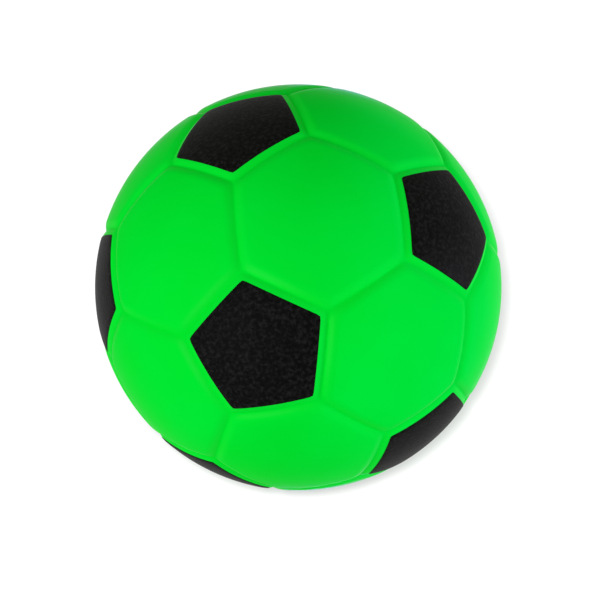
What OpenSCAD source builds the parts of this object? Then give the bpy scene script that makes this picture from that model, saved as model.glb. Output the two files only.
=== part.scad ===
// Foam soccer ball: a soft foam ball in a thin moulded skin, with twelve printed pentagons.
// Millimetres, +Z up, origin at the middle of the ball, with a hexagon on top.

/* [Ball] */
// Diameter over the crowns of the panels
ball_d = 100; // [60:1:220]
// Thickness of the skin under the crown of a panel
skin_t = 1.8; // [1.5:0.1:4]

/* [Channels] */
// Depth of the channels between the panels
channel_depth = 0.65; // [0.3:0.05:1.2]
// Width of a channel, from the edge of one crown to the edge of the next
channel_w = 3.6; // [2.4:0.1:5]
// Width of the floor of a channel, between the feet of its two shoulders
channel_floor_w = 0.4; // [0.2:0.05:1]
// Angle at which a rounded shoulder turns down from the edge of its crown
shoulder_break = 6; // [5:1:7]

/* [Prints] */
// Thickness of the ink of a printed pentagon
print_t = 0.1; // [0.05:0.01:0.3]
// Bare skin left between the edge of a crown and the edge of its print
print_margin = 0.1; // [0.05:0.05:3]

/* [Hidden] */
$fn = 180;
ball_r = ball_d / 2;
core_r = ball_r - skin_t;
floor_r = ball_r - channel_depth;
// Far enough out to pass every surface of the ball from any side
reach = 2 * ball_d;

// Angles of the 12 pentagons and 20 hexagons, seen from the middle of the ball
hex_to_hex = acos(sqrt(5) / 3);
pent_to_hex = atan(3 - sqrt(5));
hex_rim = hex_to_hex / 2;
pent_rim = pent_to_hex - hex_rim;
third = 360 / 3;
sixth = 360 / 6;

// Rings of panel middles in the upper half, as angles from +Z, and the turn of the lowest hexagons
pent_ring_1 = pent_to_hex;
pent_ring_2 = atan(3 + sqrt(5));
hex_ring_1 = hex_to_hex;
hex_ring_2 = acos(1 / 3);
hex_turn = sixth - atan(sqrt(3 / 5));
top = [0, 0];

// Heading from one place to another, from due south and turning east
// A place is [angle from +Z, azimuth]
function heading(from, to) = let (turn = to[1] - from[1]) atan2(
    sin(to[0]) * sin(turn),
    cos(from[0]) * sin(to[0]) * cos(turn) - sin(from[0]) * cos(to[0])
);
// A panel's place, with its spin set so that one side faces a neighbour
function spot(place, neighbour) = [place[0], place[1], heading(place, neighbour)];

pent_spots = [
    for (k = [0 : 2]) spot([pent_ring_1, k * third], top),
    for (k = [0 : 2]) spot([pent_ring_2, k * third + sixth], top)
];
hex_spots = [
    spot(top, [pent_ring_1, 0]),
    for (k = [0 : 2]) spot([hex_ring_1, k * third + sixth], top),
    for (k = [0 : 2], side = [-1, 1])
        spot([hex_ring_2, k * third + side * hex_turn], [pent_ring_1, k * third])
];

// The parting line of the skin runs in the channels, round the corners where three panels meet
function direction(polar, azimuth) = [sin(polar) * cos(azimuth), sin(polar) * sin(azimuth), cos(polar)];
function corner(near, far) = let (middle = 2 * near + far) reach * middle / norm(middle);
function parting_corners(k) = let (
    low = direction(180 - pent_ring_2, k * third),
    high = direction(pent_ring_2, k * third + sixth),
    next_low = direction(180 - pent_ring_2, (k + 1) * third)
) [
    corner(low, direction(pent_ring_1, k * third)),
    corner(low, high),
    corner(high, low),
    corner(high, direction(180 - pent_ring_1, k * third + sixth)),
    corner(high, next_low),
    corner(next_low, high)
];
parting_line = [for (k = [0 : 2]) each parting_corners(k)];

// Section of one side of a channel: h is measured from the plane through its middle, r in that plane
floor_h = channel_floor_w / 2;
crown_h = channel_w / 2;
floor_edge_r = sqrt(floor_r ^ 2 - floor_h ^ 2);
crown_edge_r = sqrt(ball_r ^ 2 - crown_h ^ 2);
shoulder_run = crown_h - floor_h;
shoulder_drop = crown_edge_r - floor_edge_r;
// Slope of the shoulder where it leaves the crown, and the arc that then meets the floor
shoulder_slope = shoulder_break - asin(crown_h / ball_r);
shoulder_r = (shoulder_run ^ 2 + shoulder_drop ^ 2)
    / (2 * (shoulder_drop * cos(shoulder_slope) - shoulder_run * sin(shoulder_slope)));
shoulder_middle = [
    crown_edge_r - shoulder_r * cos(shoulder_slope),
    crown_h + shoulder_r * sin(shoulder_slope)
];
// The shoulder runs on under the floor as far as this, so that the two surfaces cross
foot_h = floor_h / 2;
print_h = crown_h + print_margin;

pent_sides = 5;
hex_sides = 6;
print_count = 2 * len(pent_spots);
skin_green = [0.02, 0.85, 0.12];
print_black = [0.07, 0.07, 0.07];
foam_cream = [0.93, 0.89, 0.72];

function print_name(i) = str("pentagon_print_", i < 10 ? "0" : "", i);

// Puts a panel that is drawn round +Z at its place on the ball
module at_spot(place)
    rotate([0, 0, place[1]]) rotate([0, place[0], 0]) rotate([0, 0, place[2]])
        children();

// Turns the upper half of the ball into the lower half
module to_lower_half() rotate([0, 180, 0]) children();

// Turns what is drawn on +Z square to the plane of one side of a panel
module at_side(turn, rim) rotate([0, 0, turn]) rotate([0, rim - 90, 0]) children();

// All that lies on the panel's side of a channel, with the rounded shoulder on its edge
module channel_side() rotate_extrude() union() {
    translate([0, foot_h]) square([shoulder_middle[0], reach]);
    translate([0, shoulder_middle[1]]) square([reach, reach]);
    intersection() {
        translate(shoulder_middle) circle(r = shoulder_r);
        translate([0, foot_h]) square([reach, reach]);
    }
}

// One raised panel round +Z, down to the middle of the ball: the ball less what lies beyond each side
module raised_panel(sides, rim, cuts)
    if (cuts == 0) sphere(r = ball_r);
    else intersection() {
        raised_panel(sides, rim, cuts - 1);
        at_side(360 * cuts / sides, rim) channel_side();
    }

// Everything above the parting line
module above_parting() {
    count = len(parting_line);
    polyhedron(
        points = concat([[0, 0, 0], [0, 0, reach]], parting_line),
        faces = [
            for (i = [0 : count - 1]) each [
                [0, 2 + i, 2 + (i + 1) % count],
                [1, 2 + (i + 1) % count, 2 + i]
            ]
        ]
    );
}

// Half of the moulded skin: the layer under the channel floors, with 16 panels raised on it
module skin_half() difference() {
    union() {
        intersection() {
            sphere(r = floor_r);
            above_parting();
        }
        for (place = pent_spots) at_spot(place) raised_panel(pent_sides, pent_rim, pent_sides);
        for (place = hex_spots) at_spot(place) raised_panel(hex_sides, hex_rim, hex_sides);
    }
    sphere(r = core_r);
}

module skin_upper() color(skin_green) skin_half();

module skin_lower() color(skin_green) to_lower_half() skin_half();

module foam_core() color(foam_cream) sphere(r = core_r);

// Film of ink on the crown of a pentagon round +Z
module print_film() color(print_black) difference() {
    sphere(r = ball_r + print_t);
    sphere(r = ball_r);
    for (k = [1 : pent_sides]) at_side(360 * k / pent_sides, pent_rim)
        translate([-reach, -reach, -reach]) cube([2 * reach, 2 * reach, reach + print_h]);
}

module pentagon_print(i)
    if (i <= len(pent_spots)) at_spot(pent_spots[i - 1]) print_film();
    else to_lower_half() at_spot(pent_spots[i - 1 - len(pent_spots)]) print_film();

foam_core();
skin_upper();
skin_lower();
for (i = [1 : print_count]) pentagon_print(i);
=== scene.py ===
from itertools import combinations, permutations

import bmesh
import bpy
import numpy as np
from mathutils import Matrix, Vector


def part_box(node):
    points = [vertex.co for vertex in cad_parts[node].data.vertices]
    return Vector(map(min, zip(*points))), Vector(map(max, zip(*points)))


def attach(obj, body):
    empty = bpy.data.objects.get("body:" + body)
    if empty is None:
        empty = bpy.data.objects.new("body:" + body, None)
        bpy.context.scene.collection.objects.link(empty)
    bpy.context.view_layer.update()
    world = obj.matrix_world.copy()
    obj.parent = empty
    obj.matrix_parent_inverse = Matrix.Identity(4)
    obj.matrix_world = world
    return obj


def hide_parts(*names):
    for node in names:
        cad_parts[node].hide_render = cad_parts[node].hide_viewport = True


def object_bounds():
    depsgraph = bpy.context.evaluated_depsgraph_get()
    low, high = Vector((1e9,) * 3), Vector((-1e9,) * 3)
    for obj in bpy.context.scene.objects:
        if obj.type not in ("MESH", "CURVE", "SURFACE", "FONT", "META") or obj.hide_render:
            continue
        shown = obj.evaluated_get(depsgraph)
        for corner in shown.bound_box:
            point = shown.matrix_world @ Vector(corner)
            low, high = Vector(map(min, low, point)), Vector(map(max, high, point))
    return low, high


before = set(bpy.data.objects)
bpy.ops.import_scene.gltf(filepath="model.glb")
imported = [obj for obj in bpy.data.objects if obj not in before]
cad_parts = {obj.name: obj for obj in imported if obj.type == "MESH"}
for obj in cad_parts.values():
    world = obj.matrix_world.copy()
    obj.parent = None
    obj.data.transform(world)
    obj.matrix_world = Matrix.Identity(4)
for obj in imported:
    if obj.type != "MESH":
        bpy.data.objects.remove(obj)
cad_box = [list(corner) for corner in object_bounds()]


# Foam core
# The springy filling of the ball: cream flexible foam that is poured into the closed skin, rises, and
# sets against it. Its surface shows the broken cells that pressed on the skin.
core_low, core_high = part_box("foam_core")
core_r = (core_high[2] - core_low[2]) / 2
core_rings = 120
core_steps = 240
core_weld = 1e-6
core_sharp_deg = 60
cell_size = 0.0026
cell_depth = 0.00012
cell_waves = 24
cell_seed = 4
cell_steepness = 2
# Painted shade: the hollows of the cells, low in the bump, take this darker colour
painted_shade_cell = (0.60, 0.53, 0.36, 1)
cell_wall = (0.85, 0.79, 0.58, 1)
tint_per_m = 90
tint_share = 0.3
foam_roughness = 0.85
tint_roughness = 0.1
cell_bump = 0.6
cell_bump_depth = 0.0003


def sphere_grid(rings, steps):
    """Unit directions on a grid: the angle from +Z runs down the rows, the azimuth along them."""
    polar = np.linspace(0, np.pi, rings + 1)[:, None]
    azimuth = np.linspace(0, 2 * np.pi, steps, endpoint=False)[None, :]
    return np.stack(
        [np.sin(polar) * np.cos(azimuth), np.sin(polar) * np.sin(azimuth), np.cos(polar) + 0 * azimuth],
        axis=-1,
    )


def foam_cells(points):
    """Soft random cells between 0 and 1: the sum of plane waves of one length in random directions, put
    through a smooth step."""
    draw = np.random.default_rng(cell_seed)
    heading = draw.normal(size=(cell_waves, 3))
    heading *= 2 * np.pi / cell_size / np.linalg.norm(heading, axis=1, keepdims=True)
    phase = draw.uniform(0, 2 * np.pi, cell_waves)
    wave = np.sin(points @ heading.T + phase).sum(axis=-1) / np.sqrt(cell_waves / 2)
    return 1 / (1 + np.exp(-cell_steepness * wave))


def grid_faces(rows, steps, first=0):
    """Quads of a grid that is closed along its rows, as corner numbers, wound from row to row."""
    row = np.arange(rows - 1)[:, None] * steps + first
    here = np.arange(steps)[None, :]
    after = (here + 1) % steps
    quads = np.stack([row + here, row + after, row + steps + after, row + steps + here], axis=-1)
    return quads.reshape(-1, 4)


def solid_piece(name, points, faces, weld, sharp_deg):
    """A closed mesh object from corner points and quads: doubles closer than weld are merged, quads that
    lose a corner become triangles, and edges that bend by more than sharp_deg stay hard."""
    mesh = bpy.data.meshes.new(name)
    mesh.from_pydata(points, [], faces.tolist())
    merged = bmesh.new()
    merged.from_mesh(mesh)
    bmesh.ops.remove_doubles(merged, verts=merged.verts, dist=weld)
    merged.to_mesh(mesh)
    merged.free()
    mesh.shade_smooth()
    mesh.set_sharp_from_angle(angle=np.radians(sharp_deg))
    piece = bpy.data.objects.new(name, mesh)
    bpy.context.collection.objects.link(piece)
    return piece


def feed(node, sockets):
    """Sets sockets of a node, by name or number, to plain values or links them to wires."""
    for name, value in sockets.items():
        if isinstance(value, Wire):
            value.tree.links.new(value.socket, node.inputs[name])
        else:
            node.inputs[name].default_value = value


class Wire:
    """A shader socket, or a bare node tree where no socket is given. Sums, differences and products of
    wires and numbers add Math nodes."""

    def __init__(self, tree, socket=None):
        self.tree = tree
        self.socket = socket

    def node(self, kind, settings=None, sockets=None, output=0):
        """Adds a node, sets its settings and then its sockets, and returns a wire of one output."""
        made = self.tree.nodes.new(kind)
        for name, value in (settings or {}).items():
            setattr(made, name, value)
        feed(made, sockets or {})
        return Wire(self.tree, made.outputs[output])

    def maths(self, operation, first, second):
        return self.node("ShaderNodeMath", {"operation": operation}, {0: first, 1: second})

    def __add__(self, other):
        return self.maths("ADD", self, other)

    def __radd__(self, other):
        return self.maths("ADD", other, self)

    def __sub__(self, other):
        return self.maths("SUBTRACT", self, other)

    def __rsub__(self, other):
        return self.maths("SUBTRACT", other, self)

    def __mul__(self, other):
        return self.maths("MULTIPLY", self, other)

    def __rmul__(self, other):
        return self.maths("MULTIPLY", other, self)

    def at_least(self, other):
        """The larger of the wire and another value."""
        return self.maths("MAXIMUM", self, other)

    def mix(self, low, high):
        """The colour low where the wire is 0 and high where it is 1. Sockets 6, 7 and 2 hold colours."""
        return self.node("ShaderNodeMix", {"data_type": "RGBA"}, {"Factor": self, 6: low, 7: high}, output=2)


def new_material(name):
    """A material with its surface shader, and a wire of the piece's own coordinates in metres."""
    material = bpy.data.materials.new(name)
    material.use_nodes = True
    shader = material.node_tree.nodes["Principled BSDF"]
    place = Wire(material.node_tree).node("ShaderNodeTexCoord", output="Object")
    return material, shader, place


def noise(place, per_m, detail=2, fineness=0.5):
    """Soft noise between 0 and 1 with that many waves to the metre, and finer ones of strength fineness."""
    sockets = {"Vector": place, "Scale": per_m, "Detail": detail, "Roughness": fineness}
    return place.node("ShaderNodeTexNoise", None, sockets)


def bump(height, strength, depth):
    """A surface normal tilted by a height wire, where 1 stands for depth in metres."""
    return height.node("ShaderNodeBump", None, {"Height": height, "Strength": strength, "Distance": depth})


def foam_material():
    """Cream foam: cell hollows darkened with painted shade against paler walls, dull all over."""
    material, shader, place = new_material("foam")
    cells = place.node("ShaderNodeTexVoronoi", None, {"Vector": place, "Scale": 1 / cell_size})
    tint = noise(place, tint_per_m, detail=3)
    # Where the bump is low the colour goes to the painted shade of the hollows
    wall = (1 - tint_share) * cells + tint_share * tint
    feed(shader, {
        "Base Color": wall.mix(painted_shade_cell, cell_wall),
        "Roughness": foam_roughness + tint_roughness * tint,
        "Normal": bump(cells, cell_bump, cell_bump_depth),
    })
    return material


core_way = sphere_grid(core_rings, core_steps)
core_radius = core_r - cell_depth * foam_cells(core_way * core_r)
core_points = (core_way * core_radius[..., None]).reshape(-1, 3)
core_faces = grid_faces(core_rings + 1, core_steps)[:, ::-1]
foam_core = solid_piece("foam_ball", core_points, core_faces, core_weld, core_sharp_deg)
foam_core.data.materials.append(foam_material())
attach(foam_core, "root")
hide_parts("foam_core")


# Moulded skin
# The green cover, a soft plastic layer under 2 mm thick, moulded in two like halves that are joined at the
# bottom of the channels. The channels are part of the mould and mark out 20 hexagons and 12 pentagons.
ball_r = (cad_box[1][2] - cad_box[0][2]) / 2
channel_depth = 0.00065
channel_half_w = 0.0023
channel_floor = 0.0003
corner_round = 0.0004
side_steps = 20
channel_rows = 14
channel_rows_reach = 1.3
channel_rows_gather = 1.5
crown_rows = 12
lining_rows = 4
skin_weld = 1e-6
skin_sharp_deg = 55
third = 2 * np.pi / 3
pent_rings = (np.arctan(3 - 5**0.5), np.arctan(3 + 5**0.5))
neighbour_cos = 5**-0.5
deep_green = (0.0, 0.80, 0.016, 1)
light_green = (0.0, 0.88, 0.034, 1)
# Painted shade: the channels darken towards this deeper, less blue green with their depth
channel_painted_shade = (0.0, 0.60, 0.004, 1)
channel_shade = 0.15
cloud_per_m = 45
grain_per_m = 2200
peel_per_m = 260
satin_roughness = 0.36
grain_roughness = 0.12
channel_roughness = 0.1
skin_specular = 0.005
shoulder_gloss = 0.2
shoulder_roughness = 0.3
rim_sheen = 0.4
rim_sheen_roughness = 0.15
grain_share = 0.35
skin_bump = 0.25
skin_bump_depth = 0.00012


def direction(polar, azimuth):
    """Unit vector from its angle to +Z and its azimuth."""
    return [np.sin(polar) * np.cos(azimuth), np.sin(polar) * np.sin(azimuth), np.cos(polar)]


def unit(vectors):
    """Vectors at length 1."""
    return vectors / np.linalg.norm(vectors, axis=-1, keepdims=True)


def in_order(middle, corners):
    """Corners of a panel, anticlockwise round its middle as seen from outside."""
    across = unit(corners[0] - (corners[0] @ middle) * middle)
    along = np.cross(middle, across)
    return corners[np.argsort(np.arctan2(corners @ along, corners @ across))]


def side_normals(corners):
    """Unit normals of the planes through the ball's middle and each side of a panel, towards the panel."""
    return unit(np.cross(corners, np.roll(corners, -1, axis=0)))


upper_pents = [
    direction(polar, (k + ring / 2) * third) for ring, polar in enumerate(pent_rings) for k in range(3)
]
pents = np.array(upper_pents + [[-x, y, -z] for x, y, z in upper_pents])
are_near = np.isclose(pents @ pents.T, neighbour_cos)
# A corner lies a third of the way from one pentagon's middle to the next
pent_panels = [
    (middle, in_order(middle, unit(2 * middle + pents[near]))) for middle, near in zip(pents, are_near)
]
hex_panels = []
for trio in combinations(range(len(pents)), 3):
    if all(are_near[i, j] for i, j in combinations(trio, 2)):
        hex_middle = unit(pents[list(trio)].sum(axis=0))
        hex_corners = unit(np.array([2 * pents[i] + pents[j] for i, j in permutations(trio, 2)]))
        hex_panels.append((hex_middle, in_order(hex_middle, hex_corners)))
panels = pent_panels + hex_panels
panel_middles = np.array([middle for middle, corners in panels])


def rim_walk(corners):
    """Directions round the rim of a panel, side by side, in equal steps along each side's great circle."""
    start, end = corners[:, None], np.roll(corners, -1, axis=0)[:, None]
    angle = np.arccos((start * end).sum(axis=-1, keepdims=True))
    share = (np.arange(side_steps) / side_steps)[None, :, None]
    walk = (np.sin((1 - share) * angle) * start + np.sin(share * angle) * end) / np.sin(angle)
    return walk.reshape(-1, 3)


def inward(rim, middle, share):
    """Directions from the rim, at share 0, to the middle of a panel, at share 1."""
    return unit((1 - share)[..., None] * rim + share[..., None] * middle)


def channel_distance(way, corners, rounding):
    """Distance over the ball from the nearest channel's middle line: a soft minimum over the sides, so that
    lines of equal distance turn a rounded corner, and never below 0."""
    away = ball_r * np.arcsin(way @ side_normals(corners).T)
    return np.maximum(-rounding * np.log(np.exp(-away / rounding).sum(axis=-1)), 0)


def skin_radius(way, corners):
    """Radius of the skin: the ball's, less a channel whose rounded floor rises as a parabola to the crown."""
    away = channel_distance(way, corners, corner_round)
    climb = (np.hypot(away, channel_floor) - channel_floor) / channel_half_w
    return ball_r - channel_depth * np.clip(1 - climb, 0, 1) ** 2


def skin_panel(middle, corners):
    """Points and quads of one panel: its outer face with close rows in the channel, its lining, and a wall
    between the two on each side where the neighbour belongs to the other half."""
    rim = rim_walk(corners)
    normals = side_normals(corners)
    half_width = ball_r * np.arcsin(normals[0] @ middle)
    channel = np.linspace(0, 1, channel_rows) ** channel_rows_gather * channel_rows_reach * channel_half_w
    crown = np.linspace(channel[-1], half_width, crown_rows + 1)[1:]
    share = np.concatenate([channel, crown])[:, None] / half_width + 0 * rim[:, 0]
    way = inward(rim, middle, share)
    outer = way * skin_radius(way, corners)[..., None]
    lining_share = np.linspace(0, 1, lining_rows)[:, None] + 0 * rim[:, 0]
    lining = inward(rim, middle, lining_share) * core_r
    points = np.concatenate([outer.reshape(-1, 3), lining.reshape(-1, 3)])
    lining_start = outer.shape[0] * outer.shape[1]
    faces = [
        grid_faces(len(outer), len(rim)),
        grid_faces(len(lining), len(rim), lining_start)[:, ::-1],
    ]
    for side, normal in enumerate(normals):
        mirrored = middle - 2 * (middle @ normal) * normal
        neighbour = panel_middles[np.argmax(panel_middles @ mirrored)]
        if neighbour[2] * middle[2] < 0:
            here = side * side_steps + np.arange(side_steps)
            after = (here + 1) % len(rim)
            faces.append(np.stack([here, lining_start + here, lining_start + after, after], axis=-1))
    return points, np.concatenate(faces)


def skin_half(sign):
    """Points and quads of all the panels of the upper half, for sign 1, or of the lower, for sign -1."""
    points, faces, count = [], [], 0
    for middle, corners in panels:
        if middle[2] * sign > 0:
            panel_points, panel_faces = skin_panel(middle, corners)
            points.append(panel_points)
            faces.append(panel_faces + count)
            count += len(panel_points)
    return np.concatenate(points), np.concatenate(faces)


def distance(place):
    """Distance from the middle of the ball."""
    return place.node("ShaderNodeVectorMath", {"operation": "LENGTH"}, {0: place}, output="Value")


def skin_material():
    """Neon green soft plastic, clouded very slightly, with a fine satin grain over a soft orange peel. It is
    duller in the channels, darkened there a little with painted shade, glossier on their shoulders, and pales
    towards the rim."""
    material, shader, place = new_material("green_skin")
    sunk = (ball_r - distance(place)) * (1 / channel_depth)
    cloud = noise(place, cloud_per_m)
    grain = noise(place, grain_per_m, detail=3)
    peel = noise(place, peel_per_m)
    crown_green = cloud.mix(deep_green, light_green)
    feed(shader, {
        # Painted shade in the channels, deepest at their bottom
        "Base Color": (channel_shade * sunk).mix(crown_green, channel_painted_shade),
        "Roughness": satin_roughness + grain_roughness * grain + channel_roughness * sunk,
        "Specular IOR Level": skin_specular,
        "Coat Weight": shoulder_gloss * sunk * (1 - sunk),
        "Coat Roughness": shoulder_roughness,
        "Sheen Weight": rim_sheen,
        "Sheen Roughness": rim_sheen_roughness,
        "Normal": bump(grain_share * grain + peel, skin_bump, skin_bump_depth),
    })
    return material


green_skin = skin_material()
skins = []
for half, sign in (("upper", 1), ("lower", -1)):
    skin = solid_piece(f"moulded_skin_{half}", *skin_half(sign), skin_weld, skin_sharp_deg)
    skin.data.materials.append(green_skin)
    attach(skin, "root")
    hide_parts(f"skin_{half}")
    skins.append(skin)


# Printed pentagons
# Twelve films of black ink, sprayed through a mask on the pentagon panels once the ball is moulded. Each
# stops short of the bottom of the channels and leaves a green border; the ink dries to a fine grain.
print_t = 0.0001
print_inset = 0.00165
print_corner = 0.00018
print_sink = 0.00002
print_weld = 1e-7
print_sharp_deg = 70
# Rows of a film, as shares of the way from its edge to its middle, and the rise of the rounded edge
under_rows = [1.0, 0.5, 0.0]
edge_rows = [0.003, 0.010, 0.022]
edge_rise = [0.55, 0.9, 1.0]
top_rows = 14
halvings = 40
ink_dark = (0.0030, 0.0030, 0.0025, 1)
ink_pale = (0.0135, 0.0133, 0.0112, 1)
mottle_per_m = 1200
mottle_fineness = 0.6
speck_per_m = 3600
drift_per_m = 110
pale_from = 0.33
pale_gain = 3.0
drift_least = 0.6
drift_range = 0.8
ink_roughness = 0.38
mottle_roughness = 0.16
ink_specular = 0.013
ink_specular_tint = (1, 1, 0.73, 1)
speck_share = 0.4
ink_bump = 0.45
ink_bump_depth = 0.0002


def print_share(rim, middle, corners):
    """How far in from the rim the ink starts: where the channel is print_inset away, found by halving."""
    low, high = np.zeros(len(rim)), np.ones(len(rim))
    for _ in range(halvings):
        between = (low + high) / 2
        inside = channel_distance(inward(rim, middle, between), corners, print_corner) > print_inset
        low, high = np.where(inside, low, between), np.where(inside, between, high)
    return high


def ink_film(middle, corners):
    """Points and quads of one film: out from the middle under the ink, up its rounded edge and back over the
    top to the middle, each row following the skin at its own height."""
    rim = rim_walk(corners)
    start = print_share(rim, middle, corners)
    over_rows = np.linspace(edge_rows[-1], 1, top_rows)[1:]
    rows = np.concatenate([under_rows, edge_rows, over_rows])[:, None]
    under_height = np.full(len(under_rows), -print_sink)
    edge_height = np.array(edge_rise) * print_t
    over_height = np.full(len(over_rows), print_t)
    height = np.concatenate([under_height, edge_height, over_height])[:, None]
    way = inward(rim, middle, start + rows * (1 - start))
    points = way * (skin_radius(way, corners) + height)[..., None]
    return points.reshape(-1, 3), grid_faces(len(rows), len(rim))


def ink_material():
    """Black ink: a mottled grain under a millimetre across, paler and duller on its high spots, that drifts a
    little from place to place."""
    material, shader, place = new_material("black_ink")
    mottle = noise(place, mottle_per_m, fineness=mottle_fineness)
    speck = noise(place, speck_per_m)
    drift = noise(place, drift_per_m)
    rise = pale_gain * (mottle - pale_from).at_least(0)
    pale = rise * rise * (drift_least + drift_range * drift)
    feed(shader, {
        "Base Color": pale.mix(ink_dark, ink_pale),
        "Roughness": ink_roughness + mottle_roughness * mottle,
        "Specular IOR Level": ink_specular,
        "Specular Tint": ink_specular_tint,
        "Normal": bump(mottle + speck_share * speck, ink_bump, ink_bump_depth),
    })
    return material


black_ink = ink_material()
films = []
for number, (middle, corners) in enumerate(pent_panels, start=1):
    film = solid_piece(f"pentagon_ink_{number:02d}", *ink_film(middle, corners), print_weld, print_sharp_deg)
    film.data.materials.append(black_ink)
    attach(film, "root")
    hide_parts(f"pentagon_print_{number:02d}")
    films.append(film)


# Camera
# The photograph looks down on the ball, from about five and a half radii, and is turned a little in its own
# plane. Angles are in degrees; the two offsets are how far the ball lies from the middle of the frame.
camera_azimuth = -111.75
camera_elevation = 71.0
camera_roll = 16.9
camera_away = 5.6
frame_px = 600
ball_r_px = 203.1
ball_right_px = -1.5
ball_up_px = 12.7
sensor_mm = 36.0
nearest_shown = 0.01

toward = Vector(direction(np.radians(90 - camera_elevation), np.radians(camera_azimuth)))
upright = (-toward).to_track_quat("-Z", "Y").to_matrix()
camera_turn = upright @ Matrix.Rotation(np.radians(camera_roll), 3, "Z")
view_data = bpy.data.cameras.new("photo_view")
view_data.sensor_width = sensor_mm
view_data.lens = sensor_mm * ball_r_px * (camera_away**2 - 1) ** 0.5 / frame_px
view_data.shift_x = -ball_right_px / frame_px
view_data.shift_y = -ball_up_px / frame_px
view_data.clip_start = nearest_shown
camera = bpy.data.objects.new("photo_view", view_data)
camera.matrix_world = Matrix.LocRotScale(toward * camera_away * ball_r, camera_turn, None)
bpy.context.collection.objects.link(camera)
bpy.context.scene.camera = camera


# Floor and light
# A wide white table in a white room. One small lamp beside the lens casts the pale shadow on the table, which
# a painted shadow in the table's glow darkens close to the ball; soft light from the front and the right
# falls on the ball, cooler on the skin than on the ink at the right.
floor_half = 6.0
floor_shown = (0.36, 0.36, 0.36, 1)
floor_bounced = (0.23, 0.23, 0.23, 1)
# Glow of the table at two distances from the ball's middle: near by it is dimmed as a painted shadow, and
# less green, where the ball adds its own
painted_shadow_glow = (0.51, 0.495, 0.51, 1)
glow_far = (0.95, 0.95, 0.95, 1)
painted_shadow_m = 0.05
glow_far_m = 0.18
room_white = (1, 1, 1, 1)
room_level = 0.42
# Places are in metres to the right of the ball, up and near, as the photograph sees them
table_lamp_place = (-0.0078, 0.0068, 0.275)
table_lamp_width = 0.018
table_lamp_level = 1.55
front_place = (-0.69, -0.43, 0.93)
front_width = 0.9
front_level = 0.62
right_place = (1.0, -0.07, 0.05)
right_width = 0.4
right_level = 0.60
white_lamp = (1, 1, 1)
cool_lamp = (1, 1, 1.4)
mint_lamp = (1, 1, 3.4)


def seen_directly(wire):
    """1 for rays from the camera and for mirrored and refracted ones, 0 for the light that bounces about."""
    from_camera = wire.node("ShaderNodeLightPath", output="Is Camera Ray")
    mirrored = wire.node("ShaderNodeLightPath", output="Is Glossy Ray")
    refracted = wire.node("ShaderNodeLightPath", output="Is Transmission Ray")
    return from_camera.at_least(mirrored).at_least(refracted)


def table_material():
    """White table: seen directly it has a glow of its own, dimmed close to the ball as a painted shadow, and
    for the light that bounces about it is a plain grey."""
    material, shader, place = new_material("white_table")
    tree = material.node_tree
    tree.nodes.remove(shader)
    glow_reach = {"Value": distance(place), "From Min": painted_shadow_m, "From Max": glow_far_m}
    # Painted shadow: the table's glow is dimmer round the ball
    glow_and_painted_shadow = place.node("ShaderNodeMapRange", None, glow_reach).mix(painted_shadow_glow, glow_far)
    glow = place.node("ShaderNodeEmission", None, {"Color": glow_and_painted_shadow})
    white = place.node("ShaderNodeBsdfDiffuse", None, {"Color": floor_shown})
    shown = place.node("ShaderNodeAddShader", None, {0: white, 1: glow})
    bounced = place.node("ShaderNodeBsdfDiffuse", None, {"Color": floor_bounced})
    surface = place.node("ShaderNodeMixShader", None, {0: seen_directly(place), 1: bounced, 2: shown})
    feed(tree.nodes["Material Output"], {"Surface": surface})
    return material


floor_mesh = bpy.data.meshes.new("table_top")
floor_sides = ((-1, -1), (1, -1), (1, 1), (-1, 1))
floor_corners = [(x * floor_half, y * floor_half, -ball_r) for x, y in floor_sides]
floor_mesh.from_pydata(floor_corners, [], [(0, 1, 2, 3)])
floor_mesh.materials.append(table_material())
floor = bpy.data.objects.new("table_top", floor_mesh)
bpy.context.collection.objects.link(floor)

world = bpy.data.worlds.new("white_room")
world.use_nodes = True
bpy.context.scene.world = world
room_strength = room_level + (1 - room_level) * seen_directly(Wire(world.node_tree))
feed(world.node_tree.nodes["Background"], {"Color": room_white, "Strength": room_strength})


def soft_lamp(name, place, width, level, colour, lit_pieces, mirrored=True):
    """A round lamp that faces the ball, lights only the pieces given, and shows in their gloss if mirrored. A
    surface at the ball that faces the lamp shows its own colour times level."""
    data = bpy.data.lights.new(name, "AREA")
    data.shape = "DISK"
    data.size = width
    data.color = colour
    spot = camera_turn @ Vector(place)
    data.energy = np.pi**2 * level * spot.length_squared
    lamp = bpy.data.objects.new(name, data)
    lamp.visible_camera = False
    lamp.visible_glossy = mirrored
    lamp.matrix_world = Matrix.LocRotScale(spot, spot.to_track_quat("Z", "Y"), None)
    bpy.context.collection.objects.link(lamp)
    receivers = bpy.data.collections.new(f"lit_by_{name}")
    for piece in lit_pieces:
        receivers.objects.link(piece)
    lamp.light_linking.receiver_collection = receivers


ball = [foam_core, *skins, *films]
soft_lamp("table_lamp", table_lamp_place, table_lamp_width, table_lamp_level, white_lamp, [floor])
soft_lamp("front_lamp", front_place, front_width, front_level, cool_lamp, ball)
# The mint light stays out of the skin's gloss, where it would show as a blue patch
soft_lamp("right_lamp", right_place, right_width, right_level, mint_lamp, skins, mirrored=False)
soft_lamp("right_lamp_on_ink", right_place, right_width, right_level, cool_lamp, films)

bpy.context.scene.view_settings.view_transform = "Standard"

bpy.context.view_layer.update()
